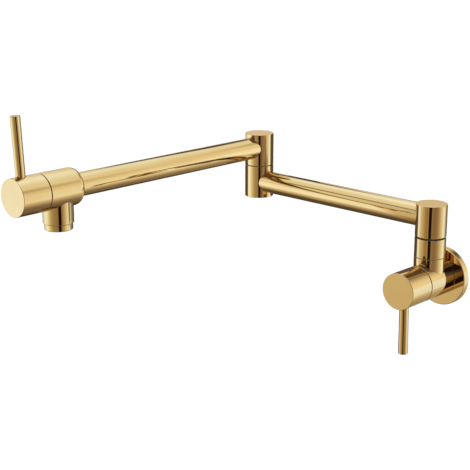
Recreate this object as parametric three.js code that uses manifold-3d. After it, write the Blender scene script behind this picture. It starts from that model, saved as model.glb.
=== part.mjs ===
// Wall mounted pot filler with two swivelling arms and two quarter-turn valves.
// Millimetres, +Z up. The origin is on the wall, on the axis of the wall valve; the room is towards -Y.

import * as THREE from 'three';
import { mergeVertices } from 'three/addons/utils/BufferGeometryUtils.js';
import Module from 'manifold-3d';

const wasm = await Module();
wasm.setup();

// ---- Driving dimensions ----

const seatGap = 0.3; // left between pieces that rest on, screw into or turn in each other
const overrun = 1; // how far a cut reaches past what it cuts
const shownSides = 32; // facets round a piece that shows
const innerSides = 20; // facets round an inner piece
const smallSides = 12; // facets round a small hole or screw
const hexSides = 6;

// Wall flange and inlet
const flangeRadius = 30.7;
const flangeThickness = 7.8;
const flangeWall = 2.4;
const flangeEdge = 0.7;
const flangeBossWall = 3.2;
const flangeBossSetBack = 1.5;
const inletRadius = 10.4; // G 1/2 male thread
const inletBore = 7;
const inletLength = 28; // behind the wall face
const inletEngagement = 7.6;
const inletChamfer = 0.6;
const flangeRingSection = 0.7;

// Valves: the same cartridge, cap and lever at the wall and at the spout
const valveRadius = 18.9;
const seatWeb = 3.3; // metal between the inlet's socket and the wall valve's seat
const cartridgeDepth = 28;
const seatBore = 6.5;
const cartridgeRadius = 12.3;
const cartridgeSleeveRadius = 9.6;
const cartridgeCollar = 12;
const discRadius = 7.3;
const discThickness = 3;
const portInner = 1.8;
const portOuter = 6.1;
const portAngle = THREE.MathUtils.degToRad(72);
const seatSealHeight = 2;
const windowRadius = 3.2;
const stemRadius = 4;
const stemFoot = 3;
const stemTeeth = 12;
const toothDepth = 0.48;
const tongueWidth = 2.6;
const tongueHeight = 1.2;
const cartridgeHex = 11;
const cartridgeHexHeight = 5;
const glandHex = 8.8;
const glandHexHeight = 3;
const stemRingSection = 0.5;

// Handle caps and levers
const capLength = 33;
const capSeam = 0.5;
const capEdge = 0.5;
const capWall = 4.2;
const capHollow = 14;
const leverInset = 11.4; // lever axis behind the cap's face
const leverRoot = 4.75;
const leverTip = 5;
const leverEdge = 0.7;
const leverThread = 3.1;
const leverSink = 1.6;
const wallLeverReach = 68.4; // lever tip from the valve's axis
const wallLeverRest = THREE.MathUtils.degToRad(1); // off plumb when shut
const spoutLeverReach = 76.9;
const spoutLeverRest = THREE.MathUtils.degToRad(4.2);
const setScrewLength = 4.6;
const setScrewSocket = 1.5;

// Swivels: a spindle screwed into the hub above turns in the bearing below
const spindleRadius = 8;
const spindleBore = 5;
const spindleHead = 10.5;
const spindleTail = 1.6; // below its clip
const threadWeb = 1; // metal left between a spindle's thread and the tube above it
const ringSection = 0.75;
const ringShares = [0.27, 0.73]; // where the two O-rings sit along a bearing
const clipThickness = 1;
const clipGrip = 0.8; // depth of the clip in the spindle
const clipWidth = 2.4;
const clipGap = THREE.MathUtils.degToRad(50);
const washerThickness = 0.8;

// Wall post
const hubRadius = 16;
const hubEdge = 0.5;
const hubChamber = 9.5;
const waterBore = 8.5;
const postOffset = 27; // wall to the axis of the wall swivel
const stubTop = 26;
const spigotRadius = 13.2;
const spigotHeight = 7.9;
const stubBore = 6.5;
const washerInset = 0.8; // leaves the dark groove of the wall swivel
const innerArmHeight = 67.3;
const postHubBelow = 19.7; // inner arm's axis down to the hub's underside
const postHubAbove = 13.9;

// Arms and elbow
const tubeRadius = 12;
const tubeWall = 1.6;
const tubeEngagement = 6;
const innerArmSpan = 236.5;
const elbowBelow = 17.4; // inner arm's axis down to the elbow's underside
const elbowClipRoom = 1; // elbow's chamber above the top of the water way
const armRise = 38.5; // inner arm's axis up to the outer arm's
const upperHubBelow = 19.4; // outer arm's axis down to the elbow's seam
const upperHubAbove = 16.3;
const elbowSeamGap = 0.4;
const elbowWasherRadius = 13.1;
const plugThickness = 2;
const plugSlotWidth = 1.6;
const plugSlotDepth = 0.7;
const outerArmRest = THREE.MathUtils.degToRad(-0.85); // the outer arm hangs a touch off square at rest

// Spout
const spoutSeam = 305.2; // elbow axis to the joint between the spout valve's body and cap
const spoutBarrel = 40.2; // length of the body, from its seam back to the arm tube
const shoulderLength = 5;
const shoulderDrop = 2.9;
const shoulderSteps = 3;
const tubeSocket = 4.5;
const nozzleSetBack = 19.5; // seam to the outlet's axis
const neckRadius = 15.4;
const neckBottom = 72.7;
const neckBore = 7.8;
const aeratorRadius = 14.2;
const aeratorHeight = 6.5;
const aeratorEdge = 0.8;
const mouthRadius = 9.2;
const mouthDepth = 5.1;
const aeratorThread = 12.5;
const aeratorThreadHeight = 7;
const screenRadius = 10.3;
const screenThickness = 3;
const screenHole = 0.85;
const screenPitch = 3.1;
const screenRings = 3;
const aeratorWasher = 1.3;

// ---- Materials ----

const polishedGold = new THREE.MeshStandardMaterial({ color: 0xd9ad62, roughness: 0.1, metalness: 1 });
const rawBrass = new THREE.MeshStandardMaterial({ color: 0xc2a05a, roughness: 0.4, metalness: 1 });
const steel = new THREE.MeshStandardMaterial({ color: 0xb9bcc0, roughness: 0.35, metalness: 1 });
const rubber = new THREE.MeshStandardMaterial({ color: 0x1c1b1a, roughness: 0.8, metalness: 0 });
const ceramic = new THREE.MeshStandardMaterial({ color: 0xf1eee6, roughness: 0.25, metalness: 0 });
const acetal = new THREE.MeshStandardMaterial({ color: 0x2b2622, roughness: 0.5, metalness: 0 });

// ---- Shapes ----

// A closed solid from any three.js geometry: shared corners are merged and empty triangles dropped.
function solid(geometry) {
  geometry.deleteAttribute('normal');
  geometry.deleteAttribute('uv');
  const merged = mergeVertices(geometry);
  const corners = merged.index.array;
  const triangles = [];
  for (let i = 0; i < corners.length; i += 3) {
    const [a, b, c] = [corners[i], corners[i + 1], corners[i + 2]];
    if (a !== b && b !== c && c !== a) triangles.push(a, b, c);
  }
  const vertProperties = new Float32Array(merged.attributes.position.array);
  const mesh = new wasm.Mesh({ numProp: 3, vertProperties, triVerts: Uint32Array.from(triangles) });
  return new wasm.Manifold(mesh);
}

// Turned about +Z from [radius, height] points, listed up the outside and down the bore.
function turned(points, sides = shownSides) {
  const outline = points.map(([radius, height]) => new THREE.Vector2(radius, height));
  return new THREE.LatheGeometry(outline, sides).rotateX(Math.PI / 2);
}

function rod(radius, bottom, top, sides = shownSides) {
  return turned([[0, bottom], [radius, bottom], [radius, top], [0, top]], sides);
}

function ring(inner, outer, bottom, top, sides = innerSides) {
  return turned([[outer, bottom], [outer, top], [inner, top], [inner, bottom], [outer, bottom]], sides);
}

// Turns an outside, and takes out of it a bore of [radius, bottom, top] steps.
function bored(outside, steps) {
  let shape = solid(turned(outside));
  for (const [radius, bottom, top] of steps) {
    shape = shape.subtract(solid(rod(radius, bottom, top, innerSides)));
  }
  return shape;
}

function oRing(inner, section, height) {
  const torus = new THREE.TorusGeometry(inner + section, section, 5, innerSides);
  return solid(torus.translate(0, 0, height));
}

// Lays a shape made along +Z along another direction.
const along = {
  left: (geometry) => geometry.rotateY(-Math.PI / 2),
  right: (geometry) => geometry.rotateY(Math.PI / 2),
  up: (geometry) => geometry.rotateX(-Math.PI / 2),
  down: (geometry) => geometry.rotateX(Math.PI / 2),
};

function piece(name, material, shape) {
  const { vertProperties, triVerts } = shape.getMesh();
  const geometry = new THREE.BufferGeometry();
  geometry.setAttribute('position', new THREE.BufferAttribute(vertProperties, 3));
  geometry.setIndex(new THREE.BufferAttribute(triVerts, 1));
  geometry.computeVertexNormals();
  const mesh = new THREE.Mesh(geometry, material);
  mesh.name = name;
  return mesh;
}

function groupOf(position, ...children) {
  const group = new THREE.Group();
  group.position.set(...position);
  group.add(...children);
  return group;
}

// ---- Quarter-turn cartridge, along +Z from the seat in the valve body ----

const sleeveBore = discRadius + seatGap;
const fixedDiscBottom = seatGap + seatSealHeight + seatGap;
const movingDiscBottom = fixedDiscBottom + discThickness + seatGap;
const footBottom = movingDiscBottom + discThickness + seatGap;
const glandBottom = footBottom + stemFoot + seatGap;
const collarBottom = cartridgeDepth - cartridgeCollar;
const hexTop = cartridgeDepth + cartridgeHexHeight;
const glandTop = hexTop + seatGap + glandHexHeight;
const leverHeight = cartridgeDepth + capLength - leverInset;
const stemTop = leverHeight + leverThread;
const stemRingHeight = (glandBottom + cartridgeDepth) / 2;

function sectorPort(middle, bottom) {
  const outline = new THREE.Shape();
  outline.absarc(0, 0, portOuter, middle - portAngle / 2, middle + portAngle / 2, false);
  outline.absarc(0, 0, portInner, middle + portAngle / 2, middle - portAngle / 2, true);
  const options = { depth: discThickness + 2 * overrun, bevelEnabled: false, curveSegments: 4 };
  return solid(new THREE.ExtrudeGeometry(outline, options).translate(0, 0, bottom - overrun));
}

// A ceramic disc with two sector ports facing each other.
function disc(bottom, turn) {
  return solid(rod(discRadius, bottom, bottom + discThickness, innerSides))
    .subtract(sectorPort(turn, bottom))
    .subtract(sectorPort(turn + Math.PI, bottom));
}

function cartridgeFixedPieces(prefix) {
  const sleeve = solid(turned([
    [cartridgeSleeveRadius, seatGap],
    [cartridgeSleeveRadius, collarBottom],
    [cartridgeRadius, collarBottom],
    [cartridgeRadius, cartridgeDepth],
    [sleeveBore, cartridgeDepth],
    [sleeveBore, seatGap],
    [cartridgeSleeveRadius, seatGap],
  ], innerSides));
  const hex = solid(ring(sleeveBore, cartridgeHex, cartridgeDepth - overrun, hexTop, hexSides));
  const hexBore = solid(rod(sleeveBore, seatGap, hexTop + overrun, innerSides));
  const windowHeight = (movingDiscBottom + glandBottom) / 2;
  const across = along.right(rod(windowRadius, -cartridgeRadius, cartridgeRadius, smallSides));
  const upright = along.up(rod(windowRadius, -cartridgeRadius, cartridgeRadius, smallSides));
  const body = sleeve
    .add(hex)
    .subtract(hexBore)
    .subtract(solid(across.translate(0, 0, windowHeight)))
    .subtract(solid(upright.translate(0, 0, windowHeight)));

  const glandShank = rod(discRadius, glandBottom, hexTop + seatGap + overrun, innerSides);
  const glandHead = rod(glandHex, hexTop + seatGap, glandTop, hexSides);
  const glandBore = rod(stemRadius + seatGap, glandBottom - overrun, glandTop + overrun, innerSides);
  const gland = solid(glandShank).add(solid(glandHead)).subtract(solid(glandBore));

  const sealTop = seatGap + seatSealHeight;
  return [
    piece(`${prefix}_cartridge_body`, rawBrass, body),
    piece(`${prefix}_seat_seal`, rubber, solid(ring(seatBore, discRadius, seatGap, sealTop))),
    piece(`${prefix}_fixed_disc`, ceramic, disc(fixedDiscBottom, 0)),
    piece(`${prefix}_gland_nut`, rawBrass, gland),
  ];
}

// The splined end of a stem: shallow teeth all round.
function splinedRod(radius, bottom, top) {
  const outline = new THREE.Shape();
  for (let i = 0; i < 2 * stemTeeth; i += 1) {
    const reach = i % 2 === 0 ? radius : radius - toothDepth;
    const angle = (i * Math.PI) / stemTeeth;
    const corner = [reach * Math.cos(angle), reach * Math.sin(angle)];
    if (i === 0) outline.moveTo(...corner);
    else outline.lineTo(...corner);
  }
  outline.closePath();
  const options = { depth: top - bottom, bevelEnabled: false };
  return solid(new THREE.ExtrudeGeometry(outline, options).translate(0, 0, bottom));
}

function cartridgeMovingPieces(prefix) {
  const grooveHalf = stemRingSection + seatGap / 2;
  const grooveRadius = stemRadius - 2 * stemRingSection;
  const footTop = footBottom + stemFoot;
  const shank = solid(turned([
    [0, footBottom],
    [discRadius, footBottom],
    [discRadius, footTop],
    [stemRadius, footTop],
    [stemRadius, stemRingHeight - grooveHalf],
    [grooveRadius, stemRingHeight - grooveHalf],
    [grooveRadius, stemRingHeight + grooveHalf],
    [stemRadius, stemRingHeight + grooveHalf],
    [stemRadius, glandTop + overrun],
    [0, glandTop + overrun],
  ], innerSides));
  const tongueDepth = tongueHeight + stemFoot / 2;
  const tongue = new THREE.BoxGeometry(tongueWidth, 2 * portOuter, tongueDepth);
  tongue.translate(0, 0, footBottom - tongueHeight + tongueDepth / 2);
  const stem = shank
    .add(splinedRod(stemRadius, glandTop, stemTop))
    .add(solid(tongue));
  const slotDepth = tongueHeight + overrun;
  const slot = new THREE.BoxGeometry(tongueWidth + 2 * seatGap, 4 * discRadius, slotDepth);
  slot.translate(0, 0, footBottom - seatGap - tongueHeight + slotDepth / 2);
  const movingDisc = disc(movingDiscBottom, Math.PI / 2).subtract(solid(slot));
  const stemRing = oRing(grooveRadius + seatGap / 2, stemRingSection, stemRingHeight);
  return [
    piece(`${prefix}_moving_disc`, ceramic, movingDisc),
    piece(`${prefix}_stem`, rawBrass, stem),
    piece(`${prefix}_stem_o_ring`, rubber, stemRing),
  ];
}

// ---- Handle: cap, lever and set screw, the lever towards +Y ----

function handlePieces(prefix, reach) {
  const capBottom = cartridgeDepth + capSeam;
  const capTop = cartridgeDepth + capLength;
  const hollowTop = cartridgeDepth + capHollow;
  const threadHole = leverThread + seatGap;
  const sinkFloor = valveRadius - leverSink;
  const capShell = bored([
    [0, capBottom],
    [valveRadius, capBottom],
    [valveRadius, capTop - capEdge],
    [valveRadius - capEdge, capTop],
    [0, capTop],
  ], [
    [valveRadius - capWall, capBottom - overrun, hollowTop],
    [stemRadius + seatGap, capBottom, stemTop + seatGap],
  ]);
  const threadCut = along.up(rod(threadHole, 0, valveRadius + overrun, innerSides));
  const sinkCut = along.up(rod(leverRoot + seatGap, sinkFloor, valveRadius + overrun, innerSides));
  const cap = capShell
    .subtract(solid(threadCut.translate(0, 0, leverHeight)))
    .subtract(solid(sinkCut.translate(0, 0, leverHeight)));

  const screwBottom = stemRadius + seatGap;
  const screwTop = screwBottom + setScrewLength;
  const screwSocket = rod(setScrewSocket, screwTop - setScrewLength / 2, screwTop + overrun, hexSides);
  const screw = solid(along.up(rod(leverThread, screwBottom, screwTop, smallSides)))
    .subtract(solid(along.up(screwSocket)));

  const leverBottom = screwTop + seatGap;
  const shoulder = sinkFloor + seatGap;
  const lever = solid(along.up(turned([
    [0, leverBottom],
    [leverThread, leverBottom],
    [leverThread, shoulder],
    [leverRoot, shoulder],
    [leverTip, reach - leverEdge],
    [leverTip - leverEdge, reach],
    [0, reach],
  ], innerSides)));
  const lifted = groupOf(
    [0, 0, leverHeight],
    piece(`${prefix}_lever`, polishedGold, lever),
    piece(`${prefix}_set_screw`, steel, screw),
  );
  return [piece(`${prefix}_handle_cap`, polishedGold, cap), lifted];
}

// All that turns with a lever, its lever turned by an angle from +Y.
function turningPieces(prefix, reach, angle) {
  const group = groupOf([0, 0, 0], ...cartridgeMovingPieces(prefix), ...handlePieces(prefix, reach));
  group.rotation.z = angle;
  return group;
}

// ---- Wall flange, inlet and wall valve, along +Z out of the wall, +Y up ----

const bodyBack = flangeThickness + seatGap;
const inletHole = inletRadius + seatGap;
const inletFloor = bodyBack + inletEngagement;
const wallSeat = inletFloor + seatWeb;
const wallSeam = wallSeat + cartridgeDepth;
const pocketRadius = cartridgeRadius + seatGap;

function flangePiece() {
  const ringHeight = flangeThickness - flangeWall - flangeRingSection - seatGap;
  const grooveHalf = flangeRingSection + seatGap / 2;
  const grooveRadius = inletHole + 2 * flangeRingSection;
  const hollowRadius = flangeRadius - flangeWall;
  const recess = ring(inletHole + flangeBossWall, hollowRadius, 0, flangeThickness - flangeWall);
  const flange = bored([
    [0, 0],
    [flangeRadius, 0],
    [flangeRadius, flangeThickness - flangeEdge],
    [flangeRadius - flangeEdge, flangeThickness],
    [0, flangeThickness],
  ], [
    [hollowRadius, -overrun, flangeBossSetBack],
    [inletHole, 0, flangeThickness + overrun],
    [grooveRadius, ringHeight - grooveHalf, ringHeight + grooveHalf],
  ]).subtract(solid(recess));
  const flangeRing = oRing(inletHole - seatGap / 2, flangeRingSection, ringHeight);
  return [
    piece('wall_flange', polishedGold, flange),
    piece('flange_o_ring', rubber, flangeRing),
  ];
}

function inletPiece() {
  const top = inletFloor - seatGap;
  const nipple = turned([
    [inletRadius - inletChamfer, -inletLength],
    [inletRadius, inletChamfer - inletLength],
    [inletRadius, top],
    [inletBore, top],
    [inletBore, -inletLength],
    [inletRadius - inletChamfer, -inletLength],
  ], innerSides);
  return piece('inlet_nipple', rawBrass, solid(nipple));
}

function wallBodyPiece() {
  const spigotTop = stubTop + spigotHeight;
  const upright = (shape) => solid(along.up(shape).translate(0, 0, postOffset));
  const body = solid(rod(valveRadius, bodyBack, wallSeam))
    .add(upright(rod(hubRadius, 0, stubTop)))
    .add(upright(rod(spigotRadius, stubTop - overrun, spigotTop)))
    .subtract(upright(rod(spindleHead, stubTop, spigotTop + overrun, innerSides)))
    .subtract(upright(rod(stubBore, 0, spigotTop, innerSides)))
    .subtract(solid(rod(pocketRadius, wallSeat, wallSeam + overrun, innerSides)))
    .subtract(solid(rod(seatBore, bodyBack, wallSeam, innerSides)))
    .subtract(solid(rod(inletHole, bodyBack - overrun, inletFloor, innerSides)));
  return piece('wall_valve_body', polishedGold, body);
}

// ---- Swivels and hubs, upright ----

const bearingBore = spindleRadius + seatGap;
const headSocket = spindleHead + seatGap;
const tubeHole = tubeRadius + seatGap;
const tubeStart = hubRadius - tubeEngagement;
const spigotSocketTop = stubTop + spigotHeight + seatGap;
const postHubBottom = innerArmHeight - postHubBelow;
const postWasherTop = postHubBottom - seatGap;
const postWasherBottom = postWasherTop - washerThickness;
const collarTop = postWasherBottom - seatGap;

// Cuts a tube's seat and its water way into a hub, the tube lying along a direction.
function tubeSeated(shape, height, towards) {
  const counterbore = towards(rod(tubeHole, tubeStart - seatGap, hubRadius + overrun, innerSides));
  const water = towards(rod(waterBore, 0, tubeStart, innerSides));
  return shape
    .subtract(solid(counterbore.translate(0, 0, height)))
    .subtract(solid(water.translate(0, 0, height)));
}

// A hub that holds one arm tube: closed top, threaded socket for the spindle below.
function hub(bottom, top, armHeight, towards) {
  const shape = bored([
    [0, bottom],
    [hubRadius, bottom],
    [hubRadius, top - hubEdge],
    [hubRadius - hubEdge, top],
    [0, top],
  ], [
    [headSocket, bottom - overrun, armHeight - tubeHole - threadWeb],
    [hubChamber, bottom, armHeight + waterBore],
  ]);
  return tubeSeated(shape, armHeight, towards);
}

function circlip(bottom) {
  const inner = spindleRadius - clipGrip;
  const outline = new THREE.Shape();
  outline.absarc(0, 0, inner + clipWidth, clipGap / 2, 2 * Math.PI - clipGap / 2, false);
  outline.absarc(0, 0, inner, 2 * Math.PI - clipGap / 2, clipGap / 2, true);
  outline.closePath();
  const options = { depth: clipThickness, bevelEnabled: false, curveSegments: 8 };
  return solid(new THREE.ExtrudeGeometry(outline, options).translate(0, 0, bottom));
}

// A hollow spindle with its two O-rings and its clip. It turns in a bearing and holds the hub above.
function swivelPieces(prefix, bearing, hubBottom, armHeight) {
  const clipBottom = bearing.bottom - seatGap - clipThickness;
  const bottom = clipBottom - spindleTail;
  const shoulder = hubBottom + seatGap;
  const head = armHeight - tubeHole - threadWeb - seatGap;
  const rings = ringShares.map((share) => bearing.bottom + share * (bearing.top - bearing.bottom));
  const ringFloor = bearingBore - 2 * ringSection - seatGap;
  const grooveHalf = ringSection + seatGap / 2;
  const clipFloor = spindleRadius - clipGrip - seatGap;
  const clipGroove = [clipBottom - seatGap / 2, clipBottom + clipThickness + seatGap / 2, clipFloor];
  const ringGrooves = rings.map((height) => [height - grooveHalf, height + grooveHalf, ringFloor]);
  const outline = [[0, bottom], [spindleRadius, bottom]];
  for (const [low, high, radius] of [clipGroove, ...ringGrooves]) {
    outline.push([spindleRadius, low], [radius, low], [radius, high], [spindleRadius, high]);
  }
  outline.push([spindleRadius, shoulder], [spindleHead, shoulder], [spindleHead, head], [0, head]);
  const spindle = solid(turned(outline, innerSides))
    .subtract(solid(rod(spindleBore, bottom - overrun, head + overrun, innerSides)));
  const ringInner = ringFloor + seatGap / 2;
  return [
    piece(`${prefix}_spindle`, rawBrass, spindle),
    piece(`${prefix}_lower_o_ring`, rubber, oRing(ringInner, ringSection, rings[0])),
    piece(`${prefix}_upper_o_ring`, rubber, oRing(ringInner, ringSection, rings[1])),
    piece(`${prefix}_circlip`, steel, circlip(clipBottom)),
  ];
}

function postCollar() {
  const bottom = stubTop + seatGap;
  const collar = bored([[0, bottom], [hubRadius, bottom], [hubRadius, collarTop], [0, collarTop]], [
    [spigotRadius + seatGap, bottom - overrun, spigotSocketTop],
    [bearingBore, bottom, collarTop + overrun],
  ]);
  const washer = ring(bearingBore, hubRadius - washerInset, postWasherBottom, postWasherTop);
  return [
    piece('post_collar', polishedGold, collar),
    piece('post_thrust_washer', acetal, solid(washer)),
  ];
}

function wallSwivel() {
  const hubShape = hub(postHubBottom, innerArmHeight + postHubAbove, innerArmHeight, along.left);
  const bearing = { bottom: spigotSocketTop, top: collarTop };
  return [
    piece('post_hub', polishedGold, hubShape),
    ...swivelPieces('post', bearing, postHubBottom, innerArmHeight),
  ];
}

function armTube(name, length) {
  return piece(name, polishedGold, solid(ring(tubeRadius - tubeWall, tubeRadius, 0, length, shownSides)));
}

// ---- Elbow, upright ----

const outerArmHeight = innerArmHeight + armRise;
const elbowBottom = innerArmHeight - elbowBelow;
const upperHubBottom = outerArmHeight - upperHubBelow;
const lowerHubTop = upperHubBottom - elbowSeamGap;
const elbowWasherTop = upperHubBottom - seatGap;
const elbowWasherBottom = elbowWasherTop - washerThickness;
const elbowWasherFloor = elbowWasherBottom - seatGap;
const elbowChamberTop = innerArmHeight + waterBore + elbowClipRoom;

// The elbow's lower half: the spindle's clip is reached from below, and a plug closes it.
function elbowCarriedByInnerArm() {
  const hubShape = bored([
    [0, elbowBottom],
    [hubRadius - hubEdge, elbowBottom],
    [hubRadius, elbowBottom + hubEdge],
    [hubRadius, lowerHubTop],
    [0, lowerHubTop],
  ], [
    [headSocket, elbowBottom - overrun, elbowChamberTop],
    [bearingBore, elbowBottom, lowerHubTop],
    [elbowWasherRadius + 2 * seatGap, elbowWasherFloor, lowerHubTop + overrun],
  ]);
  const plugBottom = elbowBottom + seatGap;
  const slot = new THREE.BoxGeometry(spindleHead, plugSlotWidth, 2 * plugSlotDepth);
  const plug = solid(rod(spindleHead, plugBottom, plugBottom + plugThickness, innerSides))
    .subtract(solid(slot.translate(0, 0, plugBottom)));
  return [
    piece('elbow_lower_hub', polishedGold, tubeSeated(hubShape, innerArmHeight, along.right)),
    piece('elbow_bottom_plug', polishedGold, plug),
  ];
}

function elbowCarriedByOuterArm() {
  const hubShape = hub(upperHubBottom, outerArmHeight + upperHubAbove, outerArmHeight, along.down);
  const bearing = { bottom: elbowChamberTop, top: elbowWasherFloor };
  const washer = ring(bearingBore, elbowWasherRadius, elbowWasherBottom, elbowWasherTop);
  return [
    piece('elbow_upper_hub', polishedGold, hubShape),
    ...swivelPieces('elbow', bearing, upperHubBottom, outerArmHeight),
    piece('elbow_thrust_washer', acetal, solid(washer)),
  ];
}

// ---- Spout valve, along +Z out from the elbow, +Y up ----

const spoutSeat = spoutSeam - cartridgeDepth;
const barrelEnd = spoutSeam - spoutBarrel;
const socketEnd = barrelEnd + tubeSocket;
const nozzleOffset = spoutSeam - nozzleSetBack;
const aeratorBottom = neckBottom - seatGap - aeratorHeight;
const aeratorShoulder = aeratorBottom + aeratorHeight;
const aeratorThreadTop = aeratorShoulder + aeratorThreadHeight;
const aeratorWasherBottom = aeratorThreadTop + seatGap;
const aeratorWasherTop = aeratorWasherBottom + aeratorWasher;
const ledgeHeight = aeratorBottom + mouthDepth;

// Rounded over in an elliptical arc where the barrel meets the arm tube.
function shoulderPoints() {
  const points = [];
  for (let i = 0; i <= shoulderSteps; i += 1) {
    const angle = (i * Math.PI) / (2 * shoulderSteps);
    const radius = valveRadius - shoulderDrop * (1 - Math.sin(angle));
    points.push([radius, barrelEnd + shoulderLength * (1 - Math.cos(angle))]);
  }
  return points;
}

function spoutBodyPiece() {
  const barrel = turned([
    [0, barrelEnd],
    ...shoulderPoints(),
    [valveRadius, spoutSeam],
    [0, spoutSeam],
  ]);
  const neckDrop = outerArmHeight - neckBottom;
  const socketDepth = outerArmHeight - aeratorWasherTop - seatGap;
  const hanging = (shape) => solid(along.down(shape).translate(0, 0, nozzleOffset));
  const body = solid(barrel)
    .add(hanging(rod(neckRadius, 0, neckDrop)))
    .subtract(solid(rod(pocketRadius, spoutSeat, spoutSeam + overrun, innerSides)))
    .subtract(solid(rod(seatBore, barrelEnd, spoutSeam, innerSides)))
    .subtract(solid(rod(tubeHole, barrelEnd - overrun, socketEnd, innerSides)))
    .subtract(hanging(rod(neckBore, 0, neckDrop, innerSides)))
    .subtract(hanging(rod(aeratorThread + seatGap, socketDepth, neckDrop + overrun, innerSides)));
  return piece('spout_valve_body', polishedGold, body);
}

// Holes in rings of 1, 6, 12 and so on, as in a pressed aerator screen.
function aeratorScreen() {
  const bottom = ledgeHeight + seatGap;
  const top = bottom + screenThickness;
  let screen = solid(rod(screenRadius, bottom, top, innerSides));
  for (let row = 0; row < screenRings; row += 1) {
    const count = Math.max(1, 6 * row);
    for (let i = 0; i < count; i += 1) {
      const angle = (2 * Math.PI * i) / count;
      const reach = row * screenPitch;
      const hole = rod(screenHole, bottom - overrun, top + overrun, hexSides);
      screen = screen.subtract(solid(hole.translate(reach * Math.cos(angle), reach * Math.sin(angle), 0)));
    }
  }
  return screen;
}

function aeratorPieces() {
  const housing = bored([
    [0, aeratorBottom],
    [aeratorRadius - aeratorEdge, aeratorBottom],
    [aeratorRadius, aeratorBottom + aeratorEdge],
    [aeratorRadius, aeratorShoulder],
    [aeratorThread, aeratorShoulder],
    [aeratorThread, aeratorThreadTop],
    [0, aeratorThreadTop],
  ], [
    [mouthRadius, aeratorBottom - overrun, aeratorThreadTop],
    [screenRadius + seatGap, ledgeHeight, aeratorThreadTop + overrun],
  ]);
  const washer = ring(neckBore, aeratorThread, aeratorWasherBottom, aeratorWasherTop);
  return [
    piece('aerator_housing', polishedGold, housing),
    piece('aerator_screen', steel, aeratorScreen()),
    piece('aerator_washer', rubber, solid(washer)),
  ];
}

// ---- Assembly ----

// Stands a valve frame up: its +Z points into the room and its +Y up.
function outward(group) {
  group.rotation.x = Math.PI / 2;
  return group;
}

const wallValve = outward(groupOf(
  [0, 0, 0],
  ...flangePiece(),
  inletPiece(),
  wallBodyPiece(),
  groupOf(
    [0, 0, wallSeat],
    ...cartridgeFixedPieces('wall'),
    turningPieces('wall', wallLeverReach, Math.PI + wallLeverRest), // the wall lever hangs down
  ),
));

const innerTube = armTube('inner_tube', innerArmSpan - 2 * tubeStart);
innerTube.rotation.y = -Math.PI / 2;
innerTube.position.set(-tubeStart, 0, innerArmHeight);

const outerTube = armTube('outer_tube', socketEnd - seatGap - tubeStart);
outerTube.position.set(0, 0, tubeStart);

const spoutValve = outward(groupOf(
  [0, 0, outerArmHeight],
  outerTube,
  spoutBodyPiece(),
  groupOf(
    [0, 0, spoutSeat],
    ...cartridgeFixedPieces('spout'),
    turningPieces('spout', spoutLeverReach, spoutLeverRest),
  ),
));

const aerator = groupOf([0, -nozzleOffset, 0], ...aeratorPieces());
const outerArm = groupOf([0, 0, 0], ...elbowCarriedByOuterArm(), spoutValve, aerator);
outerArm.rotation.z = outerArmRest;

const elbow = groupOf([-innerArmSpan, 0, 0], ...elbowCarriedByInnerArm(), outerArm);
const post = groupOf([0, -postOffset, 0], ...postCollar(), ...wallSwivel(), innerTube, elbow);

const potFiller = new THREE.Group();
potFiller.add(wallValve, post);

export default potFiller;
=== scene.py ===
import bpy
import bmesh
from math import cos, pi, radians, sin
from mathutils import Matrix


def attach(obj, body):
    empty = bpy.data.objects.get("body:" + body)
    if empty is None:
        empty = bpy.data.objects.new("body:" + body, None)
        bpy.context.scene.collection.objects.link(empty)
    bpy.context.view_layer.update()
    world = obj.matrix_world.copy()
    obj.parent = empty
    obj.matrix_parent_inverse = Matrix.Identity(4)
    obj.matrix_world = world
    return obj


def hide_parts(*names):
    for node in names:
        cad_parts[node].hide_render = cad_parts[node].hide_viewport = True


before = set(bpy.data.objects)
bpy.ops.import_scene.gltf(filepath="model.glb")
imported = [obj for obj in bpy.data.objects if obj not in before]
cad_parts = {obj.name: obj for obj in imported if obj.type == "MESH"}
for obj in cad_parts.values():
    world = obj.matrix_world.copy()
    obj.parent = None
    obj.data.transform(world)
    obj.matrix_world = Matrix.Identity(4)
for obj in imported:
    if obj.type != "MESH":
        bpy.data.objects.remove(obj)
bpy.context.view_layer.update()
print("frame loaded:", len(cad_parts), "CAD nodes")


# camera, where the photograph was taken from

cameraSetup = {
    "place": (0.671699, -1.018642, 0.381554),
    "pitch": 15.767,  # degrees below the horizon
    "yaw": 43.662,
    "lens": 92.527,
    "farthest": 200,
}

cameraData = bpy.data.cameras.new("photoCamera")
cameraData.lens = cameraSetup["lens"]
cameraData.clip_end = cameraSetup["farthest"]
camera = bpy.data.objects.new("photoCamera", cameraData)
camera.location = cameraSetup["place"]
camera.rotation_euler = (radians(90 - cameraSetup["pitch"]), 0, radians(cameraSetup["yaw"]))
bpy.context.collection.objects.link(camera)
bpy.context.scene.camera = camera
bpy.context.scene.view_settings.view_transform = "Standard"
print("camera ready")


# node trees

def addNode(tree, kind, inputs=None, **settings):
    node = tree.nodes.new(kind)
    for name, value in settings.items():
        setattr(node, name, value)
    for name, value in (inputs or {}).items():
        if isinstance(value, bpy.types.NodeSocket):
            tree.links.new(value, node.inputs[name])
        else:
            node.inputs[name].default_value = value
    return node


def addRamp(tree, factor, stops):
    node = addNode(tree, "ShaderNodeValToRGB", {"Fac": factor})
    elements = node.color_ramp.elements
    while len(elements) > 1:
        elements.remove(elements[-1])
    for i, (place, colour) in enumerate(stops):
        element = elements[0] if i == 0 else elements.new(place)
        element.position = place
        element.color = (*colour, 1)
    return node.outputs["Color"]


def ranged(tree, value, low, high, kind="LINEAR", to=(0.0, 1.0)):
    return addNode(
        tree, "ShaderNodeMapRange",
        {"Value": value, "From Min": low, "From Max": high, "To Min": to[0], "To Max": to[1]},
        interpolation_type=kind,
    ).outputs["Result"]


def grey(value):
    return (value, value, value)


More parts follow.
